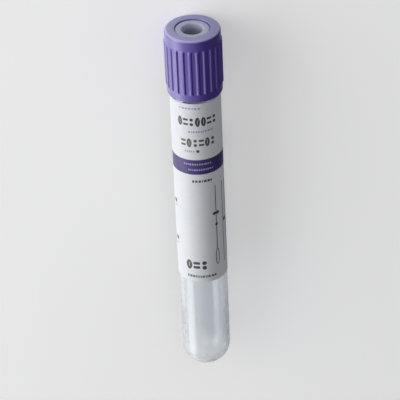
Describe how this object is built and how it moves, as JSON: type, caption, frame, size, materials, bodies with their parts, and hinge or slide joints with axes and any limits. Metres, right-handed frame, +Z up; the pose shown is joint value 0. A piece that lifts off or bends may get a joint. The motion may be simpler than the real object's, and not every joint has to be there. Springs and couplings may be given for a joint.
{
  "type": "blood collection tube",
  "caption": "Round-bottom clear plastic tube for blood samples, lying on its side, with a ribbed purple safety cap, a grey rubber stopper and a white label. Cap and stopper pull off together.",
  "frame": {"origin": "middle of the footprint, on the floor that the tube lies on", "axes": "+X along the tube towards its cap, +Z up, +Y across the tube"},
  "size_m": [0.1054, 0.015, 0.0151],
  "materials": {
    "clear_plastic": "clear, polished",
    "grey_rubber": "matte moulded",
    "purple_plastic": "satin moulded",
    "label_paper": "smooth coated, printed"
  },
  "bodies": {
    "tube": {"tube": "clear_plastic", "label": "label_paper"},
    "closure": {"safety_cap": "purple_plastic", "stopper": "grey_rubber"}
  },
  "joints": [
    {"name": "closure_pull", "type": "slide", "parent": "tube", "child": "closure", "axis": [0.9999, 0, 0.0116], "range_m": [0, 0.03]}
  ]
}
